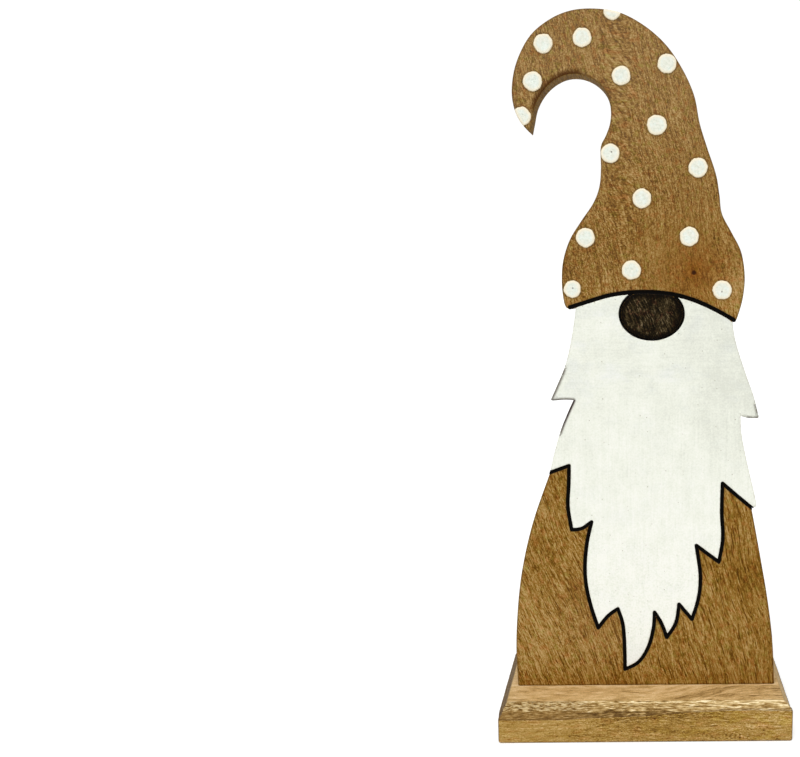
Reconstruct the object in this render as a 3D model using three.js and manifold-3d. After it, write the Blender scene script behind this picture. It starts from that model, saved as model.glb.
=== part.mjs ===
// Tomte gnome figurine: a gnome sawn from one board, which stands on a chamfered base board.
// Two screws come up through the base into the end grain of the gnome. The beard, the outlines,
// the nose and the hat's dots are coats of paint on the front face.
//
// Millimetres, +Z up. The painted front faces -Y. The origin is the middle of the base's underside.
// Every outline is drawn on the front face, as [x, z].

import * as THREE from 'three';
import { mergeVertices } from 'three/addons/utils/BufferGeometryUtils.js';
import Module from 'manifold-3d';

const wasm = await Module();
wasm.setup();

// ---------------------------------------------------------------- driving dimensions

const BASE_WIDTH = 189;
const BASE_DEPTH = 90;
const BASE_HEIGHT = 26;
const BASE_CHAMFER_RUN = 5;
const BASE_CHAMFER_DROP = 7;
const BASE_CORNER_RADIUS = 1.2;
const BASE_TOP_CORNER_RADIUS = 0.6;

// The gnome stands nearer to the front of its base than to the back.
const FRONT_LEDGE = 26.5;
const BOARD_THICKNESS = 19;
const FRONT = FRONT_LEDGE - BASE_DEPTH / 2;
const BACK = FRONT + BOARD_THICKNESS;
const MIDDLE = FRONT + BOARD_THICKNESS / 2;

const GAP = 0.3;
const GROOVE_DEPTH = 1;
const GROOVE_FILL = 0.6;
const OUTLINE_WIDTH = 2.4;
const BRIM_WIDTH = 2.6;
const NOSE_OUTLINE_WIDTH = 1.6;

const BEARD_COAT = 0.4;
const NOSE_COAT = 0.2;
const DOT_COAT = 0.4;

const NOSE_CENTRE = [4.1, 273.5];
const NOSE_HALF_WIDTH = 20.8;
const NOSE_HALF_HEIGHT = 16.9;

const SCREW_SPACING = 100;
const SCREW_LENGTH = 49;
const SCREW_RECESS = 1;
const SCREW_HEAD_RADIUS = 4.2;
const SCREW_RIM = 0.5;
const SCREW_HEAD_HEIGHT = 2.9;
const SCREW_SHANK_RADIUS = 2;
const SCREW_SHANK_END = 17;
const SCREW_SHANK_TAPER = 1;
const SCREW_CORE_RADIUS = 1.45;
const SCREW_CREST_RADIUS = 2.2;
const SCREW_PITCH = 2.6;
const SCREW_FLANK_START = 0.5 * SCREW_PITCH;
const SCREW_CREST_AT = 0.75 * SCREW_PITCH;
const SCREW_POINT_LENGTH = 5;
const SCREW_SIDES = 14;
const SCREW_SLOT_LENGTH = 4.6;
const SCREW_SLOT_WIDTH = 0.9;
const SCREW_SLOT_DEPTH = 1.8;

// How finely the curves are cut into straight steps.
const OUTLINE_STEPS = 4;
const STROKE_STEP = 4;
const STROKE_CAP_STEPS = 3;
const ELLIPSE_STEPS = 22;
const DOT_STEPS = 11;
const CORNER_STEPS = 3;

// How far a cutting body reaches past the face that it cuts.
const OVERSHOOT = 1;

// ---------------------------------------------------------------- outlines

// The edge of the gnome's board, from the foot of the coat up the left side, round the hat and down
// the right side. Each run is one smooth curve through its points, and two runs meet at a corner.
const HAT_CORNER_LEFT = [-43.5, 277];
const HOOK_TIP = [-70.3, 384.4];
const HAT_CORNER_RIGHT = [55, 268.6];
const COAT_CORNER_LEFT = [-61.2, 171.4];
const COAT_CORNER_RIGHT = [69, 147.6];
const NOTCH_LEFT = [-45.4, 218.8];
const NOTCH_RIGHT = [61, 208.2];
const TUFT_LEFT = [-59.9, 219];
const TUFT_RIGHT = [72.6, 207.6];
const FOOT_LEFT = [-84.6, BASE_HEIGHT];
const FOOT_RIGHT = [86.4, BASE_HEIGHT];

const BOARD_EDGE = [
  [FOOT_LEFT, [-85.3, 55], [-83, 88], [-79, 113.5], [-72, 141], COAT_CORNER_LEFT],
  [COAT_CORNER_LEFT, [-58, 185], [-53, 201.5], NOTCH_LEFT],
  [NOTCH_LEFT, [-52, 219], [-58.5, 218.5], TUFT_LEFT],
  [TUFT_LEFT, [-55.4, 229], [-50.8, 240], [-47.6, 252], [-45, 266], HAT_CORNER_LEFT],
  [
    HAT_CORNER_LEFT, [-47, 276.5], [-49.8, 278], [-51.2, 283], [-52.1, 293], [-51.2, 306],
    [-46.8, 319.5], [-39.3, 331.4], [-32, 342], [-28.2, 352], [-27.2, 363], [-27.2, 375.5],
    [-24, 382.5], [-21.5, 389.5], [-20.9, 397.5], [-23, 407], [-29.3, 414.2], [-38, 418.2],
    [-47.5, 418.2], [-56, 414.2], [-62.5, 407.8], [-66.8, 400], [-68.8, 391.5], HOOK_TIP,
  ],
  [
    HOOK_TIP, [-76, 390.4], [-79.9, 399.5], [-80.8, 411], [-77.7, 425.5], [-69.5, 440.5],
    [-57.5, 450.2], [-44.5, 455.4], [-30, 456.5], [-15, 454.2], [0, 446.5], [13, 435.3],
    [23, 421], [29.9, 406], [33.3, 390], [38, 375.5], [43.6, 359.5], [45.9, 347], [47.6, 335.5],
    [53.6, 324.3], [59.9, 312], [62.4, 297], [61.3, 283], [58, 271], [56.3, 268.2], HAT_CORNER_RIGHT,
  ],
  [HAT_CORNER_RIGHT, [56.4, 259], [59.4, 248.5], [64.2, 234.4], [69.2, 220.7], TUFT_RIGHT],
  [TUFT_RIGHT, [71.8, 206.8], [66, 206.9], NOTCH_RIGHT],
  [NOTCH_RIGHT, [61.6, 197.5], [64.2, 183.8], [67.6, 169.5], [70.8, 156.5], [72.2, 149.2]],
  [[72.2, 149.2], [71.5, 148], COAT_CORNER_RIGHT],
  [COAT_CORNER_RIGHT, [71.8, 133.5], [76.2, 110.5], [80.6, 86], [84.4, 58], FOOT_RIGHT],
];

// The lower edge of the hat, from the left corner to the right one.
const BRIM_LINE = [
  [-47.2, 277.7], [-35.2, 281.5], [-22.7, 285.1], [-9, 287], [6, 287.1], [20, 285.2],
  [32, 281.6], [44, 276.2], [56, 269.6],
];

// The ragged end of the beard, from the left edge of the board to the right one. Each run is one
// stroke of the cutter from the tip of one lock to the next dip.
const BEARD_LINE = [
  [[-64, 170.6], [-49, 176]],
  [[-49, 176], [-49.3, 163], [-50, 149], [-47.7, 133.4]],
  [[-47.7, 133.4], [-41.3, 134.2], [-34.8, 138.6]],
  [[-34.8, 138.6], [-37.8, 125], [-39.3, 110], [-38.7, 96], [-35.6, 81], [-31, 66.2]],
  [[-31, 66.2], [-24.4, 74.6], [-18, 79.4]],
  [[-18, 79.4], [-14.8, 69], [-13.7, 55], [-13.4, 37.2]],
  [[-13.4, 37.2], [-4.3, 42.3], [2.2, 53], [5.5, 66], [6.2, 76.8]],
  [[6.2, 76.8], [10.8, 69], [14.3, 59.3]],
  [[14.3, 59.3], [20.3, 69.5], [22.3, 82.3]],
  [[22.3, 82.3], [30.9, 71.8]],
  [[30.9, 71.8], [35, 86], [36.2, 102], [33.4, 122.4]],
  [[33.4, 122.4], [48.2, 111.1]],
  [[48.2, 111.1], [50.6, 127], [49.7, 145], [50, 164]],
  [[50, 164], [60, 155.3], [71, 146]],
];

// Where the beard's paint ends at the two ends of the brim, under the hat's corners.
const BEARD_TOP_LEFT = [-44, 277];
const BEARD_TOP_RIGHT = [55, 268];

// The painted dots of the hat, as [x, z, diameter].
const HAT_DOTS = [
  [-61.4, 436.2, 11.7], [-38, 439.8, 11.5], [-19.8, 455, 10.6], [-68.1, 414.2, 11.8],
  [-75.1, 393.7, 11.4], [-14.5, 417.7, 11.5], [13.2, 424.8, 11.8], [7.1, 388.8, 12.3],
  [-21.4, 371.8, 11.8], [32.5, 363.3, 12], [-2.1, 344.7, 12], [-37, 320.9, 12.1],
  [27.3, 321.5, 12], [-8.7, 300.9, 12.1], [-45.5, 289.1, 11], [48.2, 288.4, 12.2],
];

// ---------------------------------------------------------------- helpers

function vectors(points) {
  return points.map(([x, z]) => new THREE.Vector2(x, z));
}

// A closed outline through runs of points, with a corner where two runs meet.
function outline(runs) {
  const shape = new THREE.Shape();
  shape.moveTo(...runs[0][0]);
  for (const run of runs) {
    if (run.length === 2) {
      shape.lineTo(...run[1]);
    } else {
      shape.splineThru(vectors(run.slice(1)));
    }
  }
  return shape;
}

// The area that a round cutter of the given width leaves along one smooth run.
function stroke(run, width) {
  const curve = new THREE.SplineCurve(vectors(run));
  const steps = run.length === 2 ? 1 : Math.ceil(curve.getLength() / STROKE_STEP);
  const radius = width / 2;
  const sides = [];
  for (let i = 0; i <= steps; i++) {
    const centre = curve.getPointAt(i / steps);
    const along = curve.getTangentAt(i / steps);
    const across = new THREE.Vector2(-along.y, along.x).multiplyScalar(radius);
    sides.push({ centre, left: centre.clone().add(across), right: centre.clone().sub(across), across });
  }
  const first = sides[0];
  const last = sides[steps];
  const shape = new THREE.Shape();
  shape.moveTo(first.left.x, first.left.y);
  for (const side of sides.slice(1)) {
    shape.lineTo(side.left.x, side.left.y);
  }
  const endAngle = last.across.angle();
  shape.absarc(last.centre.x, last.centre.y, radius, endAngle, endAngle - Math.PI, true);
  for (const side of sides.slice(0, -1).reverse()) {
    shape.lineTo(side.right.x, side.right.y);
  }
  const startAngle = first.across.angle() + Math.PI;
  shape.absarc(first.centre.x, first.centre.y, radius, startAngle, startAngle - Math.PI, true);
  return shape;
}

function ellipse([x, z], halfWidth, halfHeight) {
  const shape = new THREE.Shape();
  shape.absellipse(x, z, halfWidth, halfHeight, 0, 2 * Math.PI, false, 0);
  return shape;
}

// A manifold solid from a closed geometry.
function solid(geometry) {
  const bare = geometry.clone();
  bare.deleteAttribute('normal');
  bare.deleteAttribute('uv');
  const merged = mergeVertices(bare);
  const corners = merged.index.array;
  const triangles = [];
  for (let i = 0; i < corners.length; i += 3) {
    const [a, b, c] = corners.slice(i, i + 3);
    if (a !== b && b !== c && c !== a) {
      triangles.push(a, b, c);
    }
  }
  return new wasm.Manifold(new wasm.Mesh({
    numProp: 3,
    vertProperties: new Float32Array(merged.attributes.position.array),
    triVerts: new Uint32Array(triangles),
  }));
}

function geometryOf(body) {
  const mesh = body.getMesh();
  const geometry = new THREE.BufferGeometry();
  geometry.setAttribute('position', new THREE.BufferAttribute(mesh.vertProperties, 3));
  geometry.setIndex(new THREE.BufferAttribute(mesh.triVerts, 1));
  geometry.computeVertexNormals();
  return geometry;
}

// A slab with the outline of a shape on the front face, between two depths along Y.
function slab(shape, front, back, curveSegments) {
  const geometry = new THREE.ExtrudeGeometry(shape, {
    depth: back - front,
    bevelEnabled: false,
    curveSegments,
  });
  geometry.rotateX(Math.PI / 2);
  geometry.translate(0, back, 0);
  return solid(geometry);
}

function strokes(runs, width, front, back) {
  let body = null;
  for (const run of runs) {
    const next = slab(stroke(run, width), front, back, STROKE_CAP_STEPS);
    body = body ? body.add(next) : next;
  }
  return body;
}

// A solid turned about the vertical through x and the board's middle, from [radius, height] points.
function turned(profile, x) {
  const geometry = new THREE.LatheGeometry(vectors(profile), SCREW_SIDES);
  geometry.rotateX(Math.PI / 2);
  geometry.translate(x, MIDDLE, 0);
  return solid(geometry);
}

// ---------------------------------------------------------------- regions of the front face

function boardSlab(front, back) {
  return slab(outline(BOARD_EDGE), front, back, OUTLINE_STEPS);
}

// The part of the hat that covers the nose: from the middle of the brim line up.
function hatRegion(front, back) {
  const above = NOSE_CENTRE[1] + 2 * NOSE_HALF_HEIGHT;
  const [left, start] = BRIM_LINE[0];
  const [right, end] = BRIM_LINE.at(-1);
  const runs = [BRIM_LINE, [[right, end], [right, above]], [[right, above], [left, above]]];
  runs.push([[left, above], [left, start]]);
  return slab(outline(runs), front, back, OUTLINE_STEPS);
}

// From the middle of the beard line up past the hat's corners.
function beardRegion(front, back) {
  const outside = BASE_WIDTH / 2;
  const lineEnd = BEARD_LINE.at(-1).at(-1);
  const lineStart = BEARD_LINE[0][0];
  const top = [
    [lineEnd, [outside, COAT_CORNER_RIGHT[1]]],
    [[outside, COAT_CORNER_RIGHT[1]], [outside, BEARD_TOP_RIGHT[1]]],
    [[outside, BEARD_TOP_RIGHT[1]], BEARD_TOP_RIGHT],
    [BEARD_TOP_RIGHT, BRIM_LINE.at(-2)],
    [BRIM_LINE.at(-2), ...BRIM_LINE.slice(1, -2).reverse()],
    [BRIM_LINE[1], BEARD_TOP_LEFT],
    [BEARD_TOP_LEFT, [-outside, TUFT_LEFT[1]]],
    [[-outside, TUFT_LEFT[1]], [-outside, lineStart[1]]],
  ];
  return slab(outline([...BEARD_LINE, ...top]), front, back, OUTLINE_STEPS);
}

function noseSlab(inset, front, back) {
  const shape = ellipse(NOSE_CENTRE, NOSE_HALF_WIDTH - inset, NOSE_HALF_HEIGHT - inset);
  return slab(shape, front, back, ELLIPSE_STEPS).subtract(hatRegion(front - OVERSHOOT, back + OVERSHOOT));
}

// ---------------------------------------------------------------- the boards

// The screw's clearance: a countersink, the hole through the base and the pilot hole in the gnome.
function screwHole(x) {
  const radius = SCREW_CREST_RADIUS + GAP;
  const sink = SCREW_HEAD_RADIUS + GAP;
  const rimTop = SCREW_RECESS + SCREW_RIM + GAP;
  const coneTop = SCREW_RECESS + SCREW_HEAD_HEIGHT + GAP;
  const end = SCREW_RECESS + SCREW_LENGTH + GAP;
  const profile = [
    [0, -OVERSHOOT], [sink, -OVERSHOOT], [sink, rimTop], [radius, coneTop], [radius, end],
    [0, end + radius],
  ];
  return turned(profile, x);
}

function figureBoard() {
  const grooveFront = FRONT - OVERSHOOT;
  const grooveBack = FRONT + GROOVE_DEPTH;
  const brim = strokes([BRIM_LINE], BRIM_WIDTH, grooveFront, grooveBack);
  const beard = strokes(BEARD_LINE, OUTLINE_WIDTH, grooveFront, grooveBack);
  const noseRing = noseSlab(0, grooveFront, grooveBack)
    .subtract(noseSlab(NOSE_OUTLINE_WIDTH, grooveFront - OVERSHOOT, grooveBack + OVERSHOOT));
  return boardSlab(FRONT, BACK)
    .subtract(brim.add(beard).add(noseRing))
    .subtract(screwHole(-SCREW_SPACING / 2))
    .subtract(screwHole(SCREW_SPACING / 2));
}

function roundedRectangle(width, depth, radius) {
  const shape = new THREE.Shape();
  const x = width / 2 - radius;
  const y = depth / 2 - radius;
  shape.absarc(x, y, radius, 0, Math.PI / 2, false);
  shape.absarc(-x, y, radius, Math.PI / 2, Math.PI, false);
  shape.absarc(-x, -y, radius, Math.PI, 1.5 * Math.PI, false);
  shape.absarc(x, -y, radius, 1.5 * Math.PI, 2 * Math.PI, false);
  return shape.getPoints(CORNER_STEPS);
}

// A closed solid through level rings of equally many points, from the lowest ring to the highest.
function stack(rings) {
  const count = rings[0].points.length;
  const positions = rings.flatMap(({ points, z }) => points.flatMap((point) => [point.x, point.y, z]));
  const triangles = [];
  for (let level = 1; level < rings.length; level++) {
    for (let i = 0; i < count; i++) {
      const next = (i + 1) % count;
      const [a, b] = [(level - 1) * count + i, (level - 1) * count + next];
      const [c, d] = [level * count + i, level * count + next];
      triangles.push(a, b, d, a, d, c);
    }
  }
  const top = (rings.length - 1) * count;
  for (let i = 1; i < count - 1; i++) {
    triangles.push(0, i + 1, i);
    triangles.push(top, top + i, top + i + 1);
  }
  const geometry = new THREE.BufferGeometry();
  geometry.setAttribute('position', new THREE.Float32BufferAttribute(positions, 3));
  geometry.setIndex(triangles);
  return solid(geometry);
}

function baseBoard() {
  const full = roundedRectangle(BASE_WIDTH, BASE_DEPTH, BASE_CORNER_RADIUS);
  const top = roundedRectangle(
    BASE_WIDTH - 2 * BASE_CHAMFER_RUN,
    BASE_DEPTH - 2 * BASE_CHAMFER_RUN,
    BASE_TOP_CORNER_RADIUS,
  );
  const rings = [
    { points: full, z: 0 },
    { points: full, z: BASE_HEIGHT - BASE_CHAMFER_DROP },
    { points: top, z: BASE_HEIGHT },
  ];
  return stack(rings)
    .subtract(screwHole(-SCREW_SPACING / 2))
    .subtract(screwHole(SCREW_SPACING / 2));
}

// ---------------------------------------------------------------- the screws

// A countersunk wood screw, head down, with its thread as a stack of crests and a cross recess.
function baseScrew(x) {
  const bottom = SCREW_RECESS;
  const end = SCREW_RECESS + SCREW_LENGTH;
  const threadStart = bottom + SCREW_SHANK_END + SCREW_SHANK_TAPER;
  const profile = [
    [0, bottom],
    [SCREW_HEAD_RADIUS, bottom],
    [SCREW_HEAD_RADIUS, bottom + SCREW_RIM],
    [SCREW_SHANK_RADIUS, bottom + SCREW_HEAD_HEIGHT],
    [SCREW_SHANK_RADIUS, bottom + SCREW_SHANK_END],
    [SCREW_CORE_RADIUS, threadStart],
  ];
  const turns = Math.floor((end - SCREW_POINT_LENGTH - threadStart) / SCREW_PITCH);
  for (let turn = 0; turn < turns; turn++) {
    const z = threadStart + turn * SCREW_PITCH;
    profile.push([SCREW_CORE_RADIUS, z + SCREW_FLANK_START]);
    profile.push([SCREW_CREST_RADIUS, z + SCREW_CREST_AT]);
    profile.push([SCREW_CORE_RADIUS, z + SCREW_PITCH]);
  }
  profile.push([0, end]);
  const slotDepth = 2 * SCREW_SLOT_DEPTH;
  const slotX = new THREE.BoxGeometry(SCREW_SLOT_LENGTH, SCREW_SLOT_WIDTH, slotDepth);
  const slotY = new THREE.BoxGeometry(SCREW_SLOT_WIDTH, SCREW_SLOT_LENGTH, slotDepth);
  slotX.translate(x, MIDDLE, bottom);
  slotY.translate(x, MIDDLE, bottom);
  return turned(profile, x).subtract(solid(slotX)).subtract(solid(slotY));
}

// ---------------------------------------------------------------- the paint

const LINE_FRONT = FRONT + GROOVE_DEPTH - GROOVE_FILL;
const LINE_BACK = FRONT + GROOVE_DEPTH;

function brimLine() {
  return strokes([BRIM_LINE], BRIM_WIDTH - 2 * GAP, LINE_FRONT, LINE_BACK)
    .intersect(boardSlab(FRONT, BACK));
}

function beardLine() {
  return strokes(BEARD_LINE, OUTLINE_WIDTH - 2 * GAP, LINE_FRONT, LINE_BACK)
    .intersect(boardSlab(FRONT, BACK));
}

function noseOutline() {
  return noseSlab(GAP, LINE_FRONT, LINE_BACK)
    .subtract(noseSlab(NOSE_OUTLINE_WIDTH - GAP, LINE_FRONT - OVERSHOOT, LINE_BACK + OVERSHOOT))
    .subtract(strokes([BRIM_LINE], BRIM_WIDTH, FRONT - OVERSHOOT, BACK));
}

function noseStain() {
  return noseSlab(NOSE_OUTLINE_WIDTH, FRONT - NOSE_COAT, FRONT)
    .subtract(strokes([BRIM_LINE], BRIM_WIDTH, FRONT - OVERSHOOT, BACK));
}

function beardEnamel() {
  const front = FRONT - BEARD_COAT;
  const cutFront = front - OVERSHOOT;
  const cutBack = FRONT + OVERSHOOT;
  return boardSlab(front, FRONT)
    .intersect(beardRegion(cutFront, cutBack))
    .subtract(strokes([BRIM_LINE], BRIM_WIDTH, cutFront, cutBack))
    .subtract(strokes(BEARD_LINE, OUTLINE_WIDTH, cutFront, cutBack))
    .subtract(noseSlab(0, cutFront, cutBack));
}

function hatDot([x, z, diameter]) {
  const front = FRONT - DOT_COAT;
  return slab(ellipse([x, z], diameter / 2, diameter / 2), front, FRONT, DOT_STEPS)
    .intersect(boardSlab(front - OVERSHOOT, FRONT + OVERSHOOT));
}

// ---------------------------------------------------------------- assembly

const WOOD = { color: 0x9b7040, roughness: 0.62, metalness: 0 };
const BASE_WOOD = { color: 0xb8905a, roughness: 0.6, metalness: 0 };
const WHITE_ENAMEL = { color: 0xf0f2e6, roughness: 0.55, metalness: 0 };
const BLACK_ENAMEL = { color: 0x0c0a09, roughness: 0.4, metalness: 0 };
const NOSE_STAIN = { color: 0x2b1d14, roughness: 0.5, metalness: 0 };
const SCREW_STEEL = { color: 0xa8a9ab, roughness: 0.35, metalness: 1 };

const figurine = new THREE.Group();

function addPiece(name, body, finish) {
  const mesh = new THREE.Mesh(geometryOf(body), new THREE.MeshStandardMaterial(finish));
  mesh.name = name;
  figurine.add(mesh);
}

addPiece('figure_board', figureBoard(), WOOD);
addPiece('base_board', baseBoard(), BASE_WOOD);
addPiece('base_screw_left', baseScrew(-SCREW_SPACING / 2), SCREW_STEEL);
addPiece('base_screw_right', baseScrew(SCREW_SPACING / 2), SCREW_STEEL);
addPiece('beard_enamel', beardEnamel(), WHITE_ENAMEL);
addPiece('brim_line', brimLine(), BLACK_ENAMEL);
addPiece('beard_line', beardLine(), BLACK_ENAMEL);
addPiece('nose_outline', noseOutline(), BLACK_ENAMEL);
addPiece('nose_stain', noseStain(), NOSE_STAIN);
HAT_DOTS.forEach((dot, i) => {
  addPiece(`hat_dot_${String(i + 1).padStart(2, '0')}`, hatDot(dot), WHITE_ENAMEL);
});

export default figurine;
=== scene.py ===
"""The looks of the tomte gnome figurine: a painted gnome sawn from one board, on a chamfered base.

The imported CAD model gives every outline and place. The boards and coats of paint are meshed anew
over their CAD outlines, with eased edges, round grooves and rounded rims of paint. The materials
are procedural. Lengths are in millimetres until a mesh is made.
"""

import math

import bmesh
import bpy
import numpy as np
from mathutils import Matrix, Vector, geometry, noise
from mathutils.bvhtree import BVHTree


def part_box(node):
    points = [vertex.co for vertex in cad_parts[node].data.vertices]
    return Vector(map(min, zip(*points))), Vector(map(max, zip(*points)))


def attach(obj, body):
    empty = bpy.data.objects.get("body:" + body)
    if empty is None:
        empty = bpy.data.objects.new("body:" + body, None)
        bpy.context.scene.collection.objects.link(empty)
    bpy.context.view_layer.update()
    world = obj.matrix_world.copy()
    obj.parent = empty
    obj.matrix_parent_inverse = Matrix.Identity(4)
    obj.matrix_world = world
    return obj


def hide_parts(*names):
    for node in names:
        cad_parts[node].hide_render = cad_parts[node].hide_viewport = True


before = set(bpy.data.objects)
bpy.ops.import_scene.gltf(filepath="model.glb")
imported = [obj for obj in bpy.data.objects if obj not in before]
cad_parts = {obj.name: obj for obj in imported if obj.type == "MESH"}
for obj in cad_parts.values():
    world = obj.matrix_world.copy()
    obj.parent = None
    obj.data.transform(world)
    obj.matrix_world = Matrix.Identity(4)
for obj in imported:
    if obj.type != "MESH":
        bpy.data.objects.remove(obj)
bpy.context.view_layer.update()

PER_METRE = 1000.0
FLAT = 0.01
TOUCHING = 0.05


# ---- what the CAD model says

def cad_box_mm(node):
    low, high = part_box(node)
    return np.array(low) * PER_METRE, np.array(high) * PER_METRE


BOARD_LOW, BOARD_HIGH = cad_box_mm("figure_board")
BASE_LOW, BASE_HIGH = cad_box_mm("base_board")
FRONT, BACK = BOARD_LOW[1], BOARD_HIGH[1]
MIDDLE = (FRONT + BACK) / 2
FOOT = BOARD_LOW[2]


def cad_triangles(node):
    """The corners of a node's mesh in millimetres, and its triangles."""
    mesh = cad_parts[node].data
    mesh.calc_loop_triangles()
    points = np.empty(len(mesh.vertices) * 3)
    mesh.vertices.foreach_get("co", points)
    corners = np.empty(len(mesh.loop_triangles) * 3, int)
    mesh.loop_triangles.foreach_get("vertices", corners)
    rounded = np.round(points.reshape(-1, 3) * PER_METRE, 3)
    places, index = np.unique(rounded, axis=0, return_inverse=True)
    return places, index.reshape(-1)[corners].reshape(-1, 3)


def flat_borders(node, level):
    """The closed borders, as [x, z] points, of a node's faces that lie flat at one level of Y."""
    places, triangles = cad_triangles(node)
    is_flat = np.all(np.abs(places[triangles][:, :, 1] - level) < FLAT, axis=1)
    edges = set()
    for a, b, c in triangles[is_flat].tolist():
        edges |= {(a, b), (b, c), (c, a)}
    following = {a: b for a, b in edges if (b, a) not in edges}
    borders = []
    while following:
        start, here = following.popitem()
        chain = [start]
        while here != start:
            chain.append(here)
            here = following.pop(here)
        borders.append(places[chain][:, [0, 2]])
    return sorted(borders, key=lambda border: -abs(signed_area(border)))


def signed_area(border):
    """The area inside a border, below 0 if the border runs clockwise."""
    x, z = border.T
    return np.sum(x * np.roll(z, -1) - z * np.roll(x, -1)) / 2


# ---- outlines

CORNER_TURN = math.radians(33)
CORNER_ROUNDING = 0.45


def smoothed(border, step):
    """The border, counterclockwise, in steps along a smooth curve, with its corners softened."""
    if signed_area(border) < 0:
        border = border[::-1]
    count = len(border)
    before = border - np.roll(border, 1, axis=0)
    after = np.roll(border, -1, axis=0) - border
    cross = before[:, 0] * after[:, 1] - before[:, 1] * after[:, 0]
    is_corner = np.abs(np.arctan2(cross, (before * after).sum(axis=1))) > CORNER_TURN
    result = []
    for i in range(count):
        j = (i + 1) % count
        start, end = border[i], border[j]
        handle_in = end - start if is_corner[i] else (end - border[i - 1]) / 2
        handle_out = end - start if is_corner[j] else (border[(j + 1) % count] - start) / 2
        length = np.linalg.norm(end - start)
        handle_in = handle_in * length / max(np.linalg.norm(handle_in), FLAT)
        handle_out = handle_out * length / max(np.linalg.norm(handle_out), FLAT)
        pieces = max(1, round(length / step))
        for k in range(pieces):
            t = k / pieces
            point = (
                (1 + 2 * t) * (1 - t) ** 2 * start
                + t * (1 - t) ** 2 * handle_in
                + t * t * (3 - 2 * t) * end
                + t * t * (t - 1) * handle_out
            )
            result.append((point, k == 0 and is_corner[i]))
    return softened(result)


def softened(marked):
    """The points of [(point, is a corner)], with each corner cut into a small arc."""
    points = [point for point, _ in marked]
    result = []
    for i, (point, is_corner) in enumerate(marked):
        if not is_corner:
            result.append(point)
            continue
        arms = []
        for other in (points[i - 1], points[(i + 1) % len(points)]):
            reach = np.linalg.norm(other - point)
            arms.append(point + (other - point) * min(CORNER_ROUNDING / reach, 0.4))
        result.extend([arms[0], (arms[0] + 2 * point + arms[1]) / 4, arms[1]])
    return np.array(result)


def segments(*borders):
    """Every straight piece of the closed borders, as (start, end) pairs."""
    return np.concatenate([np.stack([b, np.roll(b, -1, axis=0)], axis=1) for b in borders])


def distance(points, pieces):
    """From each point to the nearest of the straight pieces, which are stood up as low walls."""
    corners = [(x, y, z) for piece in pieces.tolist() for x, z in piece for y in (-1, 1)]
    walls = [(4 * i, 4 * i + 1, 4 * i + 3, 4 * i + 2) for i in range(len(pieces))]
    tree = BVHTree.FromPolygons(corners, walls)
    return np.array([tree.find_nearest((x, 0, z))[3] for x, z in points.tolist()])


def inside(points, pieces):
    """Whether each point lies within the closed borders that the straight pieces make up."""
    (x0, z0), (x1, z1) = pieces[:, 0].T, pieces[:, 1].T
    slope = (x1 - x0) / np.where(z1 == z0, 1, z1 - z0)
    is_inside = np.zeros(len(points), bool)
    by_height = np.argsort(points[:, 1])
    heights = points[by_height, 1]
    firsts = np.searchsorted(heights, np.minimum(z0, z1))
    ends = np.searchsorted(heights, np.maximum(z0, z1))
    for piece in range(len(pieces)):
        level = by_height[firsts[piece]:ends[piece]]
        x, z = points[level].T
        is_inside[level] ^= x < x0[piece] + (z - z0[piece]) * slope[piece]
    return is_inside


def outward(border):
    """The outward normal at each point of a counterclockwise border."""
    along = np.roll(border, -1, axis=0) - np.roll(border, 1, axis=0)
    normal = np.stack([along[:, 1], -along[:, 0]], axis=1)
    return normal / np.maximum(np.linalg.norm(normal, axis=1, keepdims=True), 1e-9)


def rows(border, distances, pieces):
    """Points at the given distances inside a border, left out where they come near its far side."""
    found = []
    for reach in distances:
        points = border - outward(border) * reach
        clear = distance(points, pieces) > 0.9 * reach
        found.append(points[clear & inside(points, pieces)])
    return np.concatenate(found)


def lattice(pieces, step, margin):
    """Points of an even triangular lattice inside the borders, at least the margin from them."""
    low, high = pieces.min(axis=(0, 1)), pieces.max(axis=(0, 1))
    rise = step * math.sqrt(3) / 2
    points = []
    for row, z in enumerate(np.arange(low[1], high[1], rise)):
        x = np.arange(low[0] + (row % 2) * step / 2, high[0], step)
        points.append(np.stack([x, np.full(len(x), z)], axis=1))
    points = np.concatenate(points)
    points = points[inside(points, pieces)]
    return points[distance(points, pieces) > margin]


def thinned(points, gap):
    """The points without those that fall in the same square of the given size."""
    cells = np.round(points / gap).astype(int)
    _, first = np.unique(cells, axis=0, return_index=True)
    return points[np.sort(first)]


def sheet(border, points):
    """Corners and triangles over the area inside a border, whose points come first and in order."""
    count = len(border)
    edges = [(i, (i + 1) % count) for i in range(count)]
    corners = [Vector(point) for point in np.concatenate([border, points]).tolist()]
    made = geometry.delaunay_2d_cdt(corners, edges, [], 0, 1e-7)
    corners = np.array([tuple(point) for point in made[0]])
    triangles = np.array(made[2])
    centres = corners[triangles].mean(axis=1)
    return corners, triangles[inside(centres, segments(border))]


def rough(x, y, z, seed):
    """Smooth noise from -1 to 1."""
    return noise.noise(Vector((x + 17.3 * seed, y - 9.1 * seed, z + 4.7 * seed)))


def noise_at(points, width, height, seed):
    """Smooth noise of a given width and height at each [x, z] point."""
    return np.array([rough(x / width, z / height, 0, seed) for x, z in points])


# ---- pieces

SHARP_ANGLE = math.radians(40)


def new_mesh(name, places, faces):
    """A mesh with coinciding corners joined, and the numbers of the corners that it kept."""
    _, first, index = np.unique(np.round(places, 4), axis=0, return_index=True, return_inverse=True)
    index = index.reshape(-1)
    joined = [[int(index[i]) for i in face] for face in faces]
    joined = [face for face in joined if len(set(face)) == len(face)]
    mesh = bpy.data.meshes.new(name)
    mesh.from_pydata((places[first] / PER_METRE).tolist(), [], joined)
    mesh.validate()
    mesh.shade_smooth()
    mesh.set_sharp_from_angle(angle=SHARP_ANGLE)
    return mesh, first


def new_object(name, data):
    made = bpy.data.objects.new(name, data)
    bpy.context.scene.collection.objects.link(made)
    return made


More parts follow.
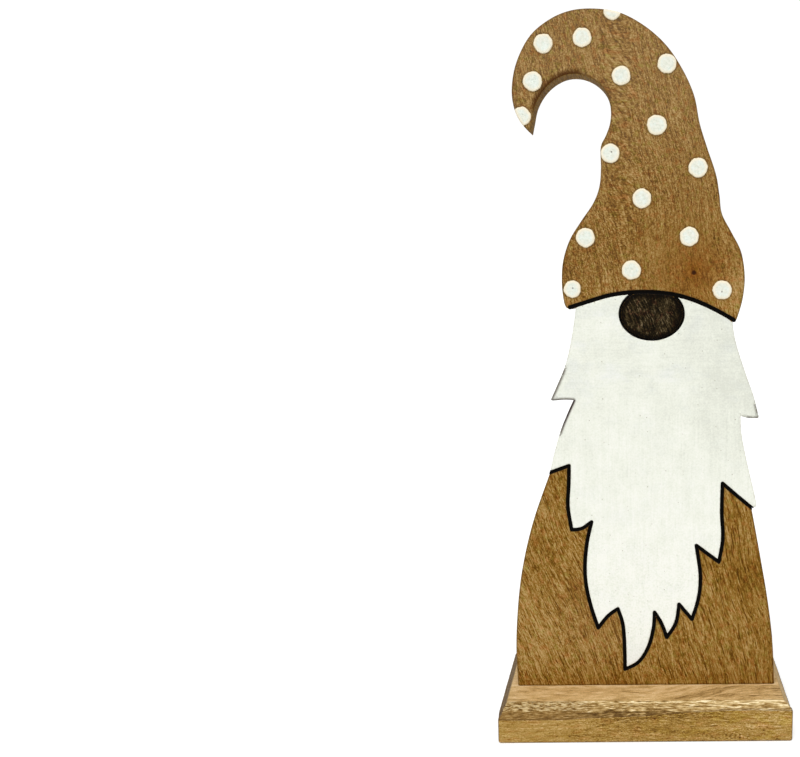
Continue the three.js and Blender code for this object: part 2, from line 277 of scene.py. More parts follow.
def add_piece(name, places, faces, material, slot, stands_for, attributes=None):
    """A piece that rides on the body, wears a material and stands for CAD nodes."""
    mesh, first = new_mesh(name, places, faces)
    for label, values in (attributes or {}).items():
        layer = mesh.attributes.new(label, "FLOAT", "POINT")
        layer.data.foreach_set("value", values[first].astype(np.float32))
    mesh.materials.append(material)
    piece = new_object(name, mesh)
    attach(piece, "root")
    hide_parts(*stands_for)
    return piece


def strip(first, second):
    """Four-sided faces, facing outward, between two closed rows of corner numbers."""
    return list(zip(first, second, np.roll(second, -1), np.roll(first, -1)))


def stacked(count, levels):
    """The outward faces between closed rows of corners that rise from low to high."""
    row = np.arange(count)
    pairs = [(row + level * count, row + (level - 1) * count) for level in range(1, levels)]
    return [face for upper, lower in pairs for face in strip(upper, lower)]


def capped(count, levels):
    """The same, closed at both ends."""
    row = np.arange(count)
    return stacked(count, levels) + [row[::-1].tolist(), (row + (levels - 1) * count).tolist()]


def apply_modifiers(piece):
    """Leaves the piece with its modified mesh and no modifiers."""
    graph = bpy.context.evaluated_depsgraph_get()
    final = piece.evaluated_get(graph)
    mesh = bpy.data.meshes.new_from_object(final, preserve_all_data_layers=True, depsgraph=graph)
    piece.modifiers.clear()
    piece.data = mesh


def cut_away(piece, shape):
    """Cuts the shape of one object out of a piece and removes that object."""
    tool = piece.modifiers.new("cut", "BOOLEAN")
    tool.operation = "DIFFERENCE"
    tool.solver = "EXACT"
    tool.object = shape
    apply_modifiers(piece)
    piece.data.set_sharp_from_angle(angle=SHARP_ANGLE)
    bpy.data.objects.remove(shape)


# ---- the gnome's board

OUTLINE_STEP = 1.6
GROOVE_STEP = 1.0
EASED_EDGE = 0.8
EASED_ROWS = EASED_EDGE * (1 - np.cos(np.radians([30, 60, 90])))
GROOVE_DEPTH = 1.0
GROOVE_HALF_WIDTH = 1.2
GROOVE_LIP = 0.25
LIP_FALL = 0.06
GROOVE_ROWS = [0.08, 0.3, 0.65, 1.1]
FACE_STEP = 2.6
BACK_STEP = 2.5 * FACE_STEP
POINT_GAP = 0.15
SIDE_ROWS = [0.25, 0.5, 0.75]
EDGE_REACH = 12.0
DOT_RING_STEP = 1.0
DOT_RINGS = [0.0, 0.6, 1.4]

outline = smoothed(flat_borders("figure_board", BACK)[0], OUTLINE_STEP)
outline_pieces = segments(outline)
eased_pieces = outline_pieces[outline_pieces[:, :, 1].max(axis=1) > FOOT + FLAT]
groove_borders = flat_borders("figure_board", FRONT + GROOVE_DEPTH)
groove_floors = [smoothed(border, GROOVE_STEP) for border in groove_borders]
groove_pieces = segments(*groove_floors)
groove_walls = groove_pieces[distance(groove_pieces.mean(axis=1), outline_pieces) > TOUCHING]


def front_border(node, step):
    """The smoothed border of a coat of paint, from its flat front in the CAD model."""
    return smoothed(flat_borders(node, cad_box_mm(node)[0][1])[0], step)


dot_nodes = sorted(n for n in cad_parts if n.startswith("hat_dot"))
dot_borders = [front_border(node, DOT_RING_STEP) for node in dot_nodes]
dot_pieces = segments(*dot_borders)


def dot_distance(points):
    """From each point of the board's face to the nearest dot's border, and 0 inside a dot."""
    return np.where(inside(points, dot_pieces), 0, distance(points, dot_pieces))


def edge_distance(points):
    """From each point of the board's face to its sawn edge, and 0 beyond it."""
    return np.where(inside(points, outline_pieces), distance(points, eased_pieces), 0)


def groove_distance(points):
    """From each point to the nearest groove's wall, below 0 outside the grooves."""
    reach = distance(points, groove_walls)
    return np.where(inside(points, groove_pieces), reach, -reach)


def eased(edge):
    """How far a rounded edge falls back at a distance from the board's side."""
    return EASED_EDGE - np.sqrt(EASED_EDGE ** 2 - np.clip(EASED_EDGE - edge, 0, EASED_EDGE) ** 2)


def board_front(points):
    """The board's front, as Y, at each [x, z] point."""
    groove = groove_distance(points)
    share = np.clip(groove / GROOVE_HALF_WIDTH, 0, 1)
    cut = GROOVE_DEPTH * np.sqrt(1 - (1 - share) ** 2)
    lip = LIP_FALL * np.clip(1 + groove / GROOVE_LIP, 0, 1) ** 2
    return FRONT + np.maximum(eased(edge_distance(points)), np.maximum(cut, lip))


def face_points(step):
    """Points of one face of the board: the rows of its eased edge, and a lattice."""
    eased_rows = rows(outline, EASED_ROWS, outline_pieces)
    return np.concatenate([eased_rows, lattice(outline_pieces, step, EASED_EDGE + 0.5 * step)])


def build_figure_board(material):
    points = face_points(FACE_STEP)
    points = points[groove_distance(points) < -0.7 * GROOVE_STEP]
    groove_points = [rows(floor, GROOVE_ROWS, groove_pieces) for floor in groove_floors]
    groove_points += [beside_grooves(GROOVE_LIP), beside_grooves(0)]
    groove_points = thinned(np.concatenate(groove_points), POINT_GAP)
    groove_points = groove_points[edge_distance(groove_points) > 0.02]
    rings = [border + outward(border) * reach for border in dot_borders for reach in DOT_RINGS]
    rings = np.concatenate(rings)
    rings = rings[edge_distance(rings) > 1.2 * EASED_EDGE]
    corners, triangles = sheet(outline, np.concatenate([points, groove_points, rings]))
    front = np.stack([corners[:, 0], board_front(corners), corners[:, 1]], axis=1)

    back_corners, back_triangles = sheet(outline, face_points(BACK_STEP))
    back_fall = BACK - eased(edge_distance(back_corners))
    back = np.stack([back_corners[:, 0], back_fall, back_corners[:, 1]], axis=1)

    rim = np.arange(len(outline))
    places = [front, back]
    rims = [rim]
    for share in SIDE_ROWS:
        rims.append(rim + sum(map(len, places)))
        places.append(front[rim] * (1 - share) + back[rim] * share)
    rims.append(rim + len(front))
    faces = triangles.tolist() + (back_triangles[:, ::-1] + len(front)).tolist()
    for near, far in zip(rims, rims[1:]):
        faces += strip(near, far)
    places = np.concatenate(places)
    flat = places[:, [0, 2]]
    behind = EDGE_REACH * (places[:, 1] > 0)
    attributes = {
        "edge": np.minimum(edge_distance(flat), EDGE_REACH),
        "groove": np.clip(-groove_distance(flat), 0, EDGE_REACH) + behind,
        "dot": np.minimum(dot_distance(flat), EDGE_REACH) + behind,
    }
    name, stands_for = "figure_board_wood", ["figure_board"]
    return add_piece(name, places, faces, material, "figure_wood", stands_for, attributes)


def beside_grooves(reach):
    """Points on the wood at a distance from the groove walls."""
    found = []
    for floor in groove_floors:
        is_clear = distance(floor, outline_pieces) > TOUCHING
        found.append((floor + outward(floor) * reach)[is_clear])
    found = np.concatenate(found)
    return found[distance(found, groove_walls) >= 0.9 * reach]


# ---- coats of paint

BURIED = 0.05
WRAP_OUT = 0.1
WRAP_NEAR = 0.35
RIM_ROWS = np.array([0.15, 0.5, 1.0])


def film(node, material, slot, coat, roundness, step, grid, ragged=0.0, grow=0.0, relief=None):
    """A closed coat of paint on the board's front, inside the border of its CAD node.

    The rim is rounded. At the board's side, the paint goes round the eased edge.
    """
    seed = sum(map(ord, node))
    border = front_border(node, step)
    border = border + outward(border) * grow
    at_side = (distance(border, eased_pieces) < WRAP_NEAR) | ~inside(border, outline_pieces)
    wander = noise_at(border, 3, 3, seed) + 0.6 * noise_at(border, 1.2, 1.2, seed)
    shift = np.where(at_side, WRAP_OUT, ragged * wander)
    border = border + outward(border) * shift[:, None]
    pieces = segments(border)
    rim_rows = roundness * RIM_ROWS
    inner = [rows(border, rim_rows, pieces), lattice(pieces, grid, roundness + 0.4 * grid)]
    side_rows = rows(outline, EASED_ROWS, outline_pieces)
    side_rows = side_rows[inside(side_rows, pieces)]
    inner.append(side_rows[distance(side_rows, pieces) > 0.1])
    corners, triangles = sheet(border, thinned(np.concatenate(inner), 0.08))
    rim = distance(corners, pieces)
    surface = board_front(corners)
    rise = coat * np.sqrt(1 - (1 - np.clip(rim / roundness, 0, 1)) ** 2)
    if relief is not None:
        rise = rise * relief(corners)
    top = np.stack([corners[:, 0], surface - rise, corners[:, 1]], axis=1)
    under = np.stack([corners[:, 0], surface + BURIED, corners[:, 1]], axis=1)
    faces = triangles.tolist() + (triangles[:, ::-1] + len(top)).tolist()
    row = np.arange(len(border))
    faces += strip(row, row + len(top))
    attributes = {"rim": np.tile(np.minimum(rim, EDGE_REACH), 2)}
    name = f"{node}_paint"
    return add_piece(name, np.concatenate([top, under]), faces, material, slot, [node], attributes)


def dab_relief(centre, seed):
    """A dabbed dot's thickness: uneven, and with a dimple where the brush's tip came off."""
    dimple = centre + 1.6 * np.array([rough(seed, 0.5, 0, 1), rough(0.5, seed, 0, 2)])

    def relief(points):
        pit = np.exp(-((points - dimple) ** 2).sum(axis=1) / 0.5)
        return 1 + 0.22 * noise_at(points, 2.2, 2.2, seed) - 0.55 * pit

    return relief


def brushed_relief(points):
    """The beard's thickness: long faint ridges that the brush left."""
    return 1 + 0.2 * noise_at(points, 4, 28, 5) + 0.12 * noise_at(points, 9, 9, 6)


# ---- the base

BASE_STEP = 1.3
BASE_ROWS = 10
BASE_TOP_STEP = 6.0
CHAMFER_RUN = 5.0
CHAMFER_DROP = 7.0
CORNER_RADIUS = 1.2
TOP_RADIUS = 0.6
UNDER_EASE = 1.6
WALL_START = 8.0
ARC_COUNT = 6
WALL_END = 0.6
CHAMFER_MARGIN = 0.06
TEAR_DROP = 0.6
RISE_ZERO = 50.0

# How far the front chamfer's lower border lies below the planned one, at places along X.
FALL_X = [-94, -56, -30, 0, 28, 48, 67, 94]
CHAMFER_FALL = [2.7, 2.5, 1.5, 0.2, -1.8, -3.0, -3.1, -2.2]


def rounded_ring(inset, radius):
    """Even points, counterclockwise, round a rectangle of the base's size less an inset."""
    sides = (BASE_HIGH - BASE_LOW)[:2]
    counts = [round((side - 2 * CORNER_RADIUS) / BASE_STEP) for side in sides]
    x, y = sides / 2 - inset - radius
    centres = np.array([(x, y), (-x, y), (-x, -y), (x, -y)])
    points = []
    for quarter, centre in enumerate(centres):
        angles = math.pi / 2 * (quarter + np.arange(ARC_COUNT + 1) / ARC_COUNT)
        arc = centre + radius * np.column_stack([np.cos(angles), np.sin(angles)])
        points.extend(arc[:-1])
        run = centres[(quarter + 1) % 4] - centre
        count = counts[quarter % 2]
        points.extend(arc[-1] + run * k / count for k in range(count))
    return np.array(points)


def chamfer_sag(x, y):
    """How much lower than planned the chamfer begins: most at the front's left end."""
    on_front = 1 / (1 + math.exp((y - BASE_LOW[1] - CHAMFER_RUN) * 1.5))
    return on_front * np.interp(x, FALL_X, CHAMFER_FALL) + 0.5 * rough(x / 16, y / 16, 0, 3)


def build_base_board(material):
    height = BASE_HIGH[2]
    foot = height - CHAMFER_DROP
    foot_arc = np.radians([0, 30, 60, 90])
    foot_arc = UNDER_EASE * (1 - np.column_stack([np.sin(foot_arc), np.cos(foot_arc)]))
    profile = [(inset, z, 0) for inset, z in foot_arc]
    wall = np.linspace(UNDER_EASE, foot - WALL_END, BASE_ROWS)[1:]
    profile += [(0, z, max(0, (z - WALL_START) / (foot - WALL_START))) for z in wall]
    chamfer_start = len(profile)
    profile += [(0.05, foot - 0.15, 1)]
    for share in np.linspace(CHAMFER_MARGIN, 1 - CHAMFER_MARGIN, BASE_ROWS):
        profile.append((CHAMFER_RUN * share, foot + CHAMFER_DROP * share, 1 - share))
    profile += [(CHAMFER_RUN + 0.1, height - 0.06, 0), (CHAMFER_RUN + 0.6, height, 0)]
    rings, rises = [], []
    for inset, z, sag in profile:
        is_upper = z > foot - 1
        is_chamfer = is_upper and 0 < inset <= CHAMFER_RUN
        share = min(inset / CHAMFER_RUN, 1) if is_upper else 0
        radius = CORNER_RADIUS + (TOP_RADIUS - CORNER_RADIUS) * share
        ring = rounded_ring(inset, max(radius - max(inset - CHAMFER_RUN, 0), 0.4))
        ring_places = []
        for x, y in ring:
            out = np.array([x, y]) / BASE_HIGH[:2]
            out = np.where(np.abs(out) > 0.9 * np.abs(out).max(), np.sign(out), 0)
            torn = chamfer_tear(x, y, z) if is_chamfer else 0
            fall = chamfer_sag(x, y)
            lowered = z - sag * fall
            ring_places.append([x - out[0] * torn, y - out[1] * torn, lowered - TEAR_DROP * torn])
            rises.append(lowered - foot + fall)
        rings.append(ring_places)
    count = len(ring)
    faces = stacked(count, len(rings))
    top_ring = np.array(rings[-1])[:, :2]
    middle = lattice(segments(top_ring), BASE_TOP_STEP, BASE_TOP_STEP / 2)
    corners, triangles = sheet(top_ring, middle)
    top = np.column_stack([corners, np.full(len(corners), height)])
    faces += (triangles + count * len(rings)).tolist()
    faces.append(list(range(count))[::-1])
    places = np.concatenate([*rings, top])
    zones = np.zeros(len(profile))
    zones[chamfer_start:] = 1
    zones[-1] = 2
    attributes = {
        "zone": np.append(np.repeat(zones, count), np.full(len(top), 2.0)),
        "rise": np.append(rises, np.full(len(top), CHAMFER_DROP)) + RISE_ZERO,
    }
    name, stands_for = "base_board_wood", ["base_board"]
    return add_piece(name, places, faces, material, "base_wood", stands_for, attributes)


def chamfer_tear(x, y, z):
    """How deep the chamfer is torn at a point, in wisps along the grain."""
    coarse = rough(x / 7, y / 2.2, z / 1.6, 7)
    fine = rough(x / 2.4, y / 1.1, z / 0.8, 8)
    return 0.16 + 0.22 * coarse + 0.14 * fine


# ---- screws

SCREW_SIDES = 32
SCREW_GAP = 0.25
SCREW_RIM = 0.5
HEAD_HEIGHT = 2.9
SHANK_RADIUS = 2.0
SHANK_END = 17.0
CORE_RADIUS = 1.5
CREST_RADIUS = 2.2
SCREW_PITCH = 2.1
SCREW_POINT = 5.0
SCREW_SHARP_ANGLE = math.radians(32)


def lathe(profile, x):
    """A closed solid turned about an upright axis at X, from (radius, height) points, upwards."""
    angles = 2 * math.pi * np.arange(SCREW_SIDES) / SCREW_SIDES
    circle = np.column_stack([np.cos(angles), np.sin(angles)])
    places = [(*point, z) for radius, z in profile for point in circle * radius + [x, MIDDLE]]
    return np.array(places), capped(SCREW_SIDES, len(profile))


def cutter(places, faces):
    return new_object("cutter", new_mesh("cutter", places, faces)[0])


def screw_measures(node):
    """The X of a screw's axis, the heights of its two ends and the radius of its head."""
    low, high = cad_box_mm(node)
    return (low[0] + high[0]) / 2, low[2], high[2], (high[0] - low[0]) / 2


def screw_clearance(node):
    """The countersunk hole that a screw sits in."""
    x, bottom, end, head = screw_measures(node)
    rim = bottom + SCREW_RIM
    sink = bottom + HEAD_HEIGHT + SCREW_GAP
    hole = CREST_RADIUS + SCREW_GAP
    head, end = head + SCREW_GAP, end + SCREW_GAP
    profile = [(head, -2), (head, rim), (hole, sink), (hole, end - 2), (0.4, end)]
    return cutter(*lathe(profile, x))


def build_screw(node, material):
    x, bottom, end, head = screw_measures(node)
    thread_start = bottom + SHANK_END
    profile = [
        (head - 0.25, bottom), (head - 0.07, bottom + 0.07), (head, bottom + 0.25),
        (head, bottom + SCREW_RIM),
        (SHANK_RADIUS + 0.2, bottom + HEAD_HEIGHT - 0.3),
        (SHANK_RADIUS, bottom + HEAD_HEIGHT + 0.3), (SHANK_RADIUS, thread_start),
        (CORE_RADIUS, thread_start + 0.6), (CORE_RADIUS, end - SCREW_POINT), (0.12, end),
    ]
    screw = add_piece(f"{node}_steel", *lathe(profile, x), material, "screw_steel", [node])
    for turn in (0, math.pi / 2):
        cut_away(screw, cross_arm(x, bottom, turn))
    add_thread(screw, x, thread_start, end)


def cross_arm(x, bottom, turn):
    """One arm of the cross recess: a tapered bar, widest at the head's face."""
    depth, length, width = 2.0, 2.3, 0.45
    places = []
    c, s = math.cos(turn), math.sin(turn)
    for z, taper in ((bottom - 0.5, 1.15), (bottom + depth, 0.45)):
        for sx, sy in ((-1, -1), (1, -1), (1, 1), (-1, 1)):
            px, py = sx * length * taper, sy * width * taper
            places.append([x + c * px - s * py, MIDDLE + s * px + c * py, z])
    return cutter(np.array(places), capped(4, 2))


def add_thread(screw, x, start, end):
    """Joins a helical ridge to the screw, tapering out at both ends."""
    steps = round((end - start - 1) / SCREW_PITCH * SCREW_SIDES)
    places = []
    for k in range(steps + 1):
        angle = 2 * math.pi * k / SCREW_SIDES
        z = start + 0.5 + SCREW_PITCH * k / SCREW_SIDES
        shrink = min(1, (end - z) / SCREW_POINT)
        core = CORE_RADIUS * shrink
        fade = min(1, k / SCREW_SIDES, (steps - k) / SCREW_SIDES)
        crest = core + (CREST_RADIUS - CORE_RADIUS) * fade * max(shrink, 0.4)
        inner = 0.8 * core
        c, s = math.cos(angle), math.sin(angle)
        for radius, rise in ((inner, -0.45), (crest, -0.04), (crest, 0.04), (inner, 0.45)):
            places.append([x + radius * c, MIDDLE + radius * s, z + rise])
    ridge, _ = new_mesh("thread", np.array(places), capped(4, steps + 1))
    joined = bmesh.new()
    for mesh in (screw.data, ridge):
        joined.from_mesh(mesh)
    joined.to_mesh(screw.data)
    joined.free()
    screw.data.set_sharp_from_angle(angle=SCREW_SHARP_ANGLE)


# ---- materials

def colour(red, green, blue):
    """A linear colour from the 0 to 255 values of a screen."""
    shares = [value / 255 for value in (red, green, blue)]
    return (*(s / 12.92 if s <= 0.04045 else ((s + 0.055) / 1.055) ** 2.4 for s in shares), 1.0)


class Value:
    """The output of a node. Arithmetic with it adds math nodes."""

    def __init__(self, nodes, socket):
        self.nodes = nodes
        self.socket = socket

    def __add__(self, other):
        return self.nodes.math("ADD", self, other)

    def __sub__(self, other):
        return self.nodes.math("SUBTRACT", self, other)

    def __rsub__(self, other):
        return self.nodes.math("SUBTRACT", other, self)

    def __mul__(self, other):
        return self.nodes.math("MULTIPLY", self, other)

    def __abs__(self):
        return self.nodes.math("ABSOLUTE", self)

    __radd__ = __add__
    __rmul__ = __mul__


class Nodes:
    """The nodes of a material or of the world. Each method adds a node and returns its output."""

    def __init__(self, owner):
        owner.use_nodes = True
        owner.node_tree.nodes.clear()
        self.owner = owner

    def add(self, kind, inputs=None, out=0, **settings):
        """A new node's output, a list of its outputs, or the node itself if out is None."""
        tree = self.owner.node_tree
        node = tree.nodes.new(kind)
        for name, value in settings.items():
            setattr(node, name, value)
        for socket, value in (inputs or {}).items():
            if isinstance(value, Value):
                tree.links.new(value.socket, node.inputs[socket])
            else:
                node.inputs[socket].default_value = value
        if isinstance(out, tuple):
            return [Value(self, node.outputs[o]) for o in out]
        return node if out is None else Value(self, node.outputs[out])

    def math(self, operation, a, b=0):
        return self.add("ShaderNodeMath", {0: a, 1: b}, operation=operation)

    def fade(self, value, low, high, start=0, end=1):
        """Goes smoothly from start to end as the value goes from low to high."""
        inputs = {"Value": value, "From Min": low, "From Max": high, "To Min": start, "To Max": end}
        return self.add("ShaderNodeMapRange", inputs, interpolation_type="SMOOTHSTEP")


class Material(Nodes):
    """The nodes of a new material. The place on the object is in millimetres."""

    def __init__(self, name):
        super().__init__(bpy.data.materials.new(name))
        inputs = {0: self.add("ShaderNodeTexCoord", out="Object"), "Scale": PER_METRE}
        self.place = self.add("ShaderNodeVectorMath", inputs, operation="SCALE")
        self.x, self.y, self.z = self.add("ShaderNodeSeparateXYZ", {0: self.place}, out=(0, 1, 2))

    def vector(self, x, y, z):
        return self.add("ShaderNodeCombineXYZ", {0: x, 1: y, 2: z})

    def cells(self, place, size):
        """The place in units of the size's x, y and z millimetres."""
        counts = tuple(1 / side for side in size)
        return self.add("ShaderNodeVectorMath", {0: place, 1: counts}, operation="MULTIPLY")

    def moved(self, place, x, y, z):
        """The place moved by some millimetres, for another pattern."""
        return self.add("ShaderNodeVectorMath", {0: place, 1: (x, y, z)}, operation="ADD")

    def noise(self, place, size, detail=2, rough=0.5):
        """Noise of about the given size along x, y and z, centred on 0."""
        inputs = {"Vector": self.cells(place, size), "Scale": 1}
        inputs.update({"Detail": detail, "Roughness": rough})
        return self.add("ShaderNodeTexNoise", inputs) - 0.5

    def dashes(self, place, size, radius, share):
        """Soft spots, 1 at their middle, in that share of the cells of the given size."""
        inputs = {"Vector": self.cells(place, size), "Scale": 1, "Randomness": 1}
        reach, shade = self.add("ShaderNodeTexVoronoi", inputs, out=("Distance", "Color"))
        chance, strength = self.add("ShaderNodeSeparateXYZ", {0: shade}, out=(0, 1))
        kept = self.fade(chance, share - 0.12, share, 1, 0)
        return self.fade(reach, radius, 0.3 * radius) * kept * self.fade(strength, 0, 1, 0.5, 1)

    def mix(self, share, a, b, blend="MIX"):
        """Goes from a to b, which are outputs or colours of a screen."""
        a, b = (colour(*c) if isinstance(c, tuple) else c for c in (a, b))
        inputs = {0: share, 6: a, 7: b}
        return self.add("ShaderNodeMix", inputs, out=2, data_type="RGBA", blend_type=blend)

    def tint(self, share, a, b):
        """Multiplies a by b in that share."""
        return self.mix(share, a, b, "MULTIPLY")

    def ramp(self, value, stops):
        node = self.add("ShaderNodeValToRGB", {0: value}, out=None)
        elements = node.color_ramp.elements
        while len(elements) < len(stops):
            elements.new(0.5)
        for element, (position, shade) in zip(elements, stops):
            element.position = position
            element.color = colour(*shade)
        return Value(self, node.outputs[0])

    def attribute(self, name):
        return self.add("ShaderNodeAttribute", out="Fac", attribute_name=name)

    def facing(self, axis):
        """How far the surface faces along X, Y or Z (0, 1 or 2), from -1 to 1."""
        normal = self.add("ShaderNodeNewGeometry", out="Normal")
        return self.add("ShaderNodeSeparateXYZ", {0: normal}, out=axis)

    def finish(self, shade, roughness, height, bump, **constants):
        """Closes the material. The height is in millimetres."""
        raised = {"Height": height, "Distance": 1 / PER_METRE, "Strength": bump}
        normal = self.add("ShaderNodeBump", raised)
        inputs = {"Base Color": shade, "Roughness": roughness, "Normal": normal}
        inputs.update({name.replace("_", " "): value for name, value in constants.items()})
        shader = self.add("ShaderNodeBsdfPrincipled", inputs)
        self.add("ShaderNodeOutputMaterial", {0: shader}, out=None)
        return self.owner


def spot(g, x, z, radius, edge=0):
    """1 inside a round spot of the face, fading to 0 at the radius."""
    dx, dz = g.x - x, g.z - z
    reach = g.math("SQRT", dx * dx + dz * dz)
    return g.fade(reach, edge, radius, 1, 0)


def leaning_grain(g):
    """The grain of the gnome's board: it runs down and to the right, least in the lower hat."""
    lean = g.z * 0.25
    over_foot = (g.z - 90) * g.fade(g.z, 165, 225, 1, 0)
    steeper_left = over_foot * g.fade(g.x, -48, -8, 0.12, 0)
    upright = g.fade(g.z, 275, 345, 0, -10) * g.fade(abs(g.x - 8), 10, 36, 1, 0)
    sway = g.noise(g.place, (70, 200, 90), 1) * 16
    ripple = g.noise(g.place, (14, 40, 24), 1) * 1.8
    across = g.x + lean + steeper_left + upright + sway + ripple
    shorter_in_hat = g.math("MAXIMUM", g.z - 240, 0) * 0.4
    return g.vector(across, g.y, g.z + shorter_in_hat)


def figure_wood():
    g = Material("figure_wood")
    grain = leaning_grain(g)
    contrast = 1 - spot(g, 20, 306, 46, 12) * 0.35
    coat = g.fade(g.z, 235, 285, 1, 0.35)
    bands = g.noise(grain, (5, 9, 70), 3)
    clouds = g.noise(g.place, (18, 16, 22))
    streaks = g.noise(grain, (1.1, 4, 20))
    fibres = g.noise(grain, (0.65, 1.3, 5), 3, 0.7)
    dark_fibres = g.math("MINIMUM", fibres, 0)
    crumbs = g.noise(grain, (0.7, 0.9, 1.1), 2, 0.75)
    pores = g.dashes(grain, (1.3, 1.7, 3.2), 0.42, 0.7)
    lined = 0.6 + clouds * 1.6 + g.fade(g.x, 20, 50, 0, 0.15)
    lines = g.dashes(g.moved(grain, 31, 7, 5), (1.2, 1.9, 22), 0.4, lined)
    short_lines = g.dashes(g.moved(grain, 52, 7, 9), (1.3, 1.9, 6.5), 0.4, 0.6)
    lines = g.math("MAXIMUM", lines, short_lines * 0.8)
    flecks = g.dashes(g.moved(grain, 11, 3, 17), (0.9, 1.5, 3), 0.44, 0.5)
    crumbly = crumbs * (2.6 - (coat + clouds * 1.5 + g.fade(g.x, 10, 50, 0, 0.6)))
    fine = fibres * 1.35 + dark_fibres * 1.4 + crumbly + streaks * 0.8
    fine = fine - pores * 0.36 - lines * coat * 0.64 + flecks * 0.2
    tone = 0.66 + bands * 0.4 + clouds * 0.3 + fine * contrast
    tone -= g.fade(g.z, 262, 300, 0, 0.06)
    tone += spot(g, -68, 58, 50) * 0.12 - spot(g, 68, 104, 26) * 0.22
    tone -= spot(g, 30, 298, 34) * 0.12 + spot(g, -44, 300, 30) * 0.1
    tone += spot(g, 62, 288, 30) * 0.24 - spot(g, -32, 88, 36) * 0.1

    knot = spot(g, 30.4, 299.3, 1.7, 0.7)
    halo = spot(g, 30.4, 300.5, 10, 1) * 0.35 + spot(g, 32, 300, 32, 4) * 0.4
    swirl = spot(g, -56.5, 77, 4, 0.5)
    tone -= knot * 1.4 + swirl * 0.22
    shade = g.ramp(tone, [
        (0, (88, 54, 2)), (0.25, (112, 74, 10)), (0.5, (141, 101, 34)), (0.75, (163, 126, 64)),
        (1, (190, 156, 100)),
    ])
    shade = g.mix(g.fade(g.z, 265, 300, 0, 0.045), shade, (150, 130, 126))
    shade = g.mix(g.fade(g.z, 320, 430, 0, 0.12), shade, (184, 158, 122))
    warm = g.fade(g.noise(grain, (3.5, 6, 5), 3), 0.02, 0.16)
    shade = g.tint(warm * 0.6, shade, (255, 218, 200))
    olive = g.fade(g.noise(g.moved(grain, 60, 0, 40), (3.5, 6, 5), 3), 0.02, 0.16)
    shade = g.tint(olive * 0.6, shade, (224, 245, 188))
    shade = g.mix(spot(g, -28, 76, 48, 10) * 0.04, shade, (170, 130, 120))
    shade = g.tint(halo, shade, (244, 200, 120))
    shade = g.mix(knot * 0.8, shade, (48, 18, 2))
    shade = g.tint(g.fade(g.z, 27, 42, 0.6, 0), shade, (238, 228, 190))

    edge = g.attribute("edge")
    # Darker along the board's sawn edge: painted shade of the eased edge.
    darkened_edge = g.fade(edge, 0.2, 1.6, 0.45, 0)
    inked = g.fade(g.attribute("groove"), 0.1, 0.7, 0.45, 0)
    # A dark line along the foot, where the board stands on the base: a painted contact shadow.
    foot = g.fade(g.z, 26.3, 27.6, 0.5, 0)
    # The grooves' ink bleed is the paint's own; the edge and foot darkening are painted shade.
    ink_and_painted_shade = g.math("MAXIMUM", g.math("MAXIMUM", darkened_edge, inked), foot)
    shade = g.mix(ink_and_painted_shade, shade, (72, 50, 22))
    # Darker face along the hook's inner edge: painted shade under the hook's curl.
    hook_rim_shade = g.fade(edge + fibres * 5, 0.6, 4.6, 0.92, 0) * spot(g, -57, 413, 24, 15)
    shade = g.mix(hook_rim_shade, shade, (78, 42, 8))
    # A dark ring round each dot: a painted shadow of the raised dab.
    dot_shadow_ring = g.fade(g.attribute("dot"), 0.45, 1.3, 0.34, 0) * (1 - darkened_edge)
    shade = g.mix(dot_shadow_ring, shade, (84, 66, 34))
    # The sawn sides are darker than the face: their own colour, darkened further as painted shade,
    # as under the hook.
    side = g.fade(abs(g.facing(1)), 0.85, 0.35)
    saw = g.noise(g.place, (0.5, 14, 0.5))
    burnt = g.fade(g.noise(g.place, (9, 30, 9)), -0.05, 0.15)
    sawn = g.mix(g.fade(saw, -0.2, 0.2), (104, 74, 20), (160, 122, 50))
    sawn = g.mix(burnt * 0.35, sawn, (88, 54, 16))
    shade = g.mix(side * 0.8, shade, sawn)

    height = pores * -0.09 - lines * 0.05 + fibres * 0.1 + side * saw * 0.12
    rough = 0.52 + fibres * 0.25 + pores * 0.12 + side * 0.12
    return g.finish(shade, rough, height, 0.8, Specular_IOR_Level=0.08)


